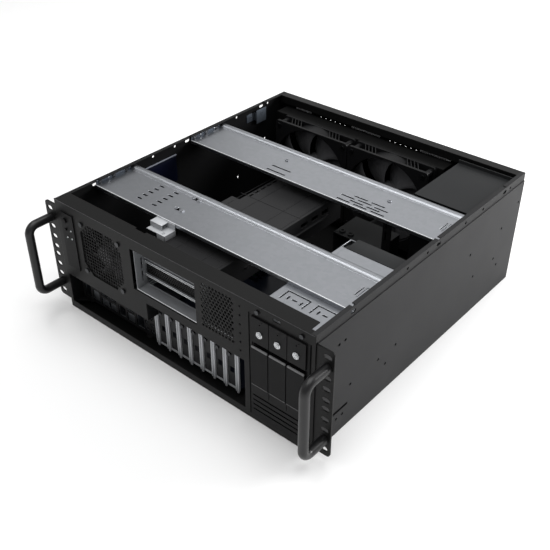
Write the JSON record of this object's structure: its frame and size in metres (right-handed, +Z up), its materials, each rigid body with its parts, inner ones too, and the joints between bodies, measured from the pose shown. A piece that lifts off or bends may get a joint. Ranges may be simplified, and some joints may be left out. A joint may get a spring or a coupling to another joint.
{
  "type": "rackmount server case",
  "caption": "Open-top four-unit rackmount case with front ports, slots, drive trays, handles, fans and crossbars.",
  "frame": {"origin": "middle of the overall footprint, on the plane of the underside", "axes": "+X to the right seen from the front, +Y from the front panel to the rear panel, +Z up"},
  "size_m": [0.4826, 0.506, 0.1745],
  "materials": {
    "front_steel": "fine-textured black powder coat",
    "side_steel": "fine-textured dark grey powder coat",
    "dark_steel": "fine-textured black powder coat",
    "shield_steel": "black stamped steel",
    "cover_steel": "black coated steel",
    "cover_grey": "dark grey coated steel",
    "galvanised": "galvanised sheet, dull",
    "supply_steel": "grey coated steel",
    "handle_metal": "satin black coat over aluminium",
    "screw_zinc": "zinc plated",
    "screw_black": "black oxide",
    "port_metal": "stamped nickel-plated shells",
    "aluminium": "as cast and as extruded",
    "brass": "turned",
    "chrome": "bright plated",
    "fan_plastic": "black moulded",
    "rotor_plastic": "black moulded",
    "strip_plastic": "dark moulded",
    "button_plastic": "dark moulded, satin",
    "bay_plastic": "black moulded, fine grain",
    "lever_plastic": "black moulded, satin",
    "lamp_board": "circuit board with lamps",
    "board_green": "solder mask",
    "board_blue": "dark solder mask",
    "card_shell": "dark anodised",
    "cable_black": "soft sheath"
  },
  "bodies": {
    "chassis": {"base_pan": "dark_steel", "left_side_wall": "side_steel", "right_side_wall": "side_steel", "rear_panel": "dark_steel", "front_panel": "front_steel", "io_recess": "front_steel", "io_shield": "shield_steel", "slot_frame": "galvanised", "slot_covers": "cover_steel", "riser_slot_frame": "galvanised", "riser_slot_cover": "cover_steel", "fan_grille": "front_steel", "front_fan_frame": "fan_plastic", "control_panel": "strip_plastic", "control_board": "lamp_board", "left_rack_ear": "front_steel", "right_rack_ear": "front_steel", "left_handle": "handle_metal", "right_handle": "handle_metal", "handle_screws": "screw_zinc", "front_crossbar": "galvanised", "rear_crossbar": "galvanised", "panel_screws": "screw_zinc", "fan_screws": "screw_black", "card_holder_bracket": "galvanised", "wall_bracket": "galvanised", "drive_cage": "galvanised", "drive_bay_frame": "bay_plastic", "drive_backplane": "board_green", "rear_fan_bracket": "dark_steel", "left_rear_fan_frame": "fan_plastic", "right_rear_fan_frame": "fan_plastic", "power_supply": "supply_steel", "power_supply_cover": "cover_grey", "mainboard": "board_blue", "board_standoffs": "brass", "io_ports": "port_metal", "cpu_cooler": "aluminium", "memory_modules": "board_green", "expansion_card": "card_shell", "crossbar_post": "cover_steel", "ssd_cage": "galvanised", "cables": "cable_black"},
    "front_rotor": {"front_fan_rotor": "rotor_plastic"},
    "left_rear_rotor": {"left_rear_fan_rotor": "rotor_plastic"},
    "right_rear_rotor": {"right_rear_fan_rotor": "rotor_plastic"},
    "power_key": {"power_button": "button_plastic"},
    "reset_key": {"reset_button": "button_plastic"},
    "tray_1": {"drive_tray_1": "bay_plastic", "hard_drive_1": "aluminium"},
    "lever_1": {"drive_lever_1": "lever_plastic"},
    "lock_1": {"drive_lock_1": "chrome"},
    "tray_2": {"drive_tray_2": "bay_plastic", "hard_drive_2": "aluminium"},
    "lever_2": {"drive_lever_2": "lever_plastic"},
    "lock_2": {"drive_lock_2": "chrome"},
    "tray_3": {"drive_tray_3": "bay_plastic", "hard_drive_3": "aluminium"},
    "lever_3": {"drive_lever_3": "lever_plastic"},
    "lock_3": {"drive_lock_3": "chrome"}
  },
  "joints": [
    {"name": "front_fan_spin", "type": "hinge", "parent": "chassis", "child": "front_rotor", "pos_m": [-0.1305, -0.197, 0.1188], "axis": [0, 1, 0], "continuous": true},
    {"name": "left_rear_fan_spin", "type": "hinge", "parent": "chassis", "child": "left_rear_rotor", "pos_m": [-0.111, 0.203, 0.08725], "axis": [0, 1, 0], "continuous": true},
    {"name": "right_rear_fan_spin", "type": "hinge", "parent": "chassis", "child": "right_rear_rotor", "pos_m": [0.031, 0.203, 0.08725], "axis": [0, 1, 0], "continuous": true},
    {"name": "power_button_press", "type": "slide", "parent": "chassis", "child": "power_key", "axis": [0, 1, 0], "range_m": [0, 0.0015], "stiffness_N_per_m": 250, "springref_m": -0.001},
    {"name": "reset_button_press", "type": "slide", "parent": "chassis", "child": "reset_key", "axis": [0, 1, 0], "range_m": [0, 0.001], "stiffness_N_per_m": 250, "springref_m": -0.001},
    {"name": "tray_1_slide", "type": "slide", "parent": "chassis", "child": "tray_1", "axis": [0, -1, 0], "range_m": [0, 0.15]},
    {"name": "lever_1_swing", "type": "hinge", "parent": "tray_1", "child": "lever_1", "pos_m": [0.14155, -0.2132, 0.0595], "axis": [1, 0, 0], "range_deg": [0, 75]},
    {"name": "lock_1_turn", "type": "hinge", "parent": "tray_1", "child": "lock_1", "pos_m": [0.14155, -0.211, 0.1375], "axis": [0, 1, 0], "range_deg": [0, 90]},
    {"name": "tray_2_slide", "type": "slide", "parent": "chassis", "child": "tray_2", "axis": [0, -1, 0], "range_m": [0, 0.15]},
    {"name": "lever_2_swing", "type": "hinge", "parent": "tray_2", "child": "lever_2", "pos_m": [0.16755, -0.2132, 0.0595], "axis": [1, 0, 0], "range_deg": [0, 75]},
    {"name": "lock_2_turn", "type": "hinge", "parent": "tray_2", "child": "lock_2", "pos_m": [0.16755, -0.211, 0.1375], "axis": [0, 1, 0], "range_deg": [0, 90]},
    {"name": "tray_3_slide", "type": "slide", "parent": "chassis", "child": "tray_3", "axis": [0, -1, 0], "range_m": [0, 0.15]},
    {"name": "lever_3_swing", "type": "hinge", "parent": "tray_3", "child": "lever_3", "pos_m": [0.19355, -0.2132, 0.0595], "axis": [1, 0, 0], "range_deg": [0, 75]},
    {"name": "lock_3_turn", "type": "hinge", "parent": "tray_3", "child": "lock_3", "pos_m": [0.19355, -0.211, 0.1375], "axis": [0, 1, 0], "range_deg": [0, 90]}
  ]
}
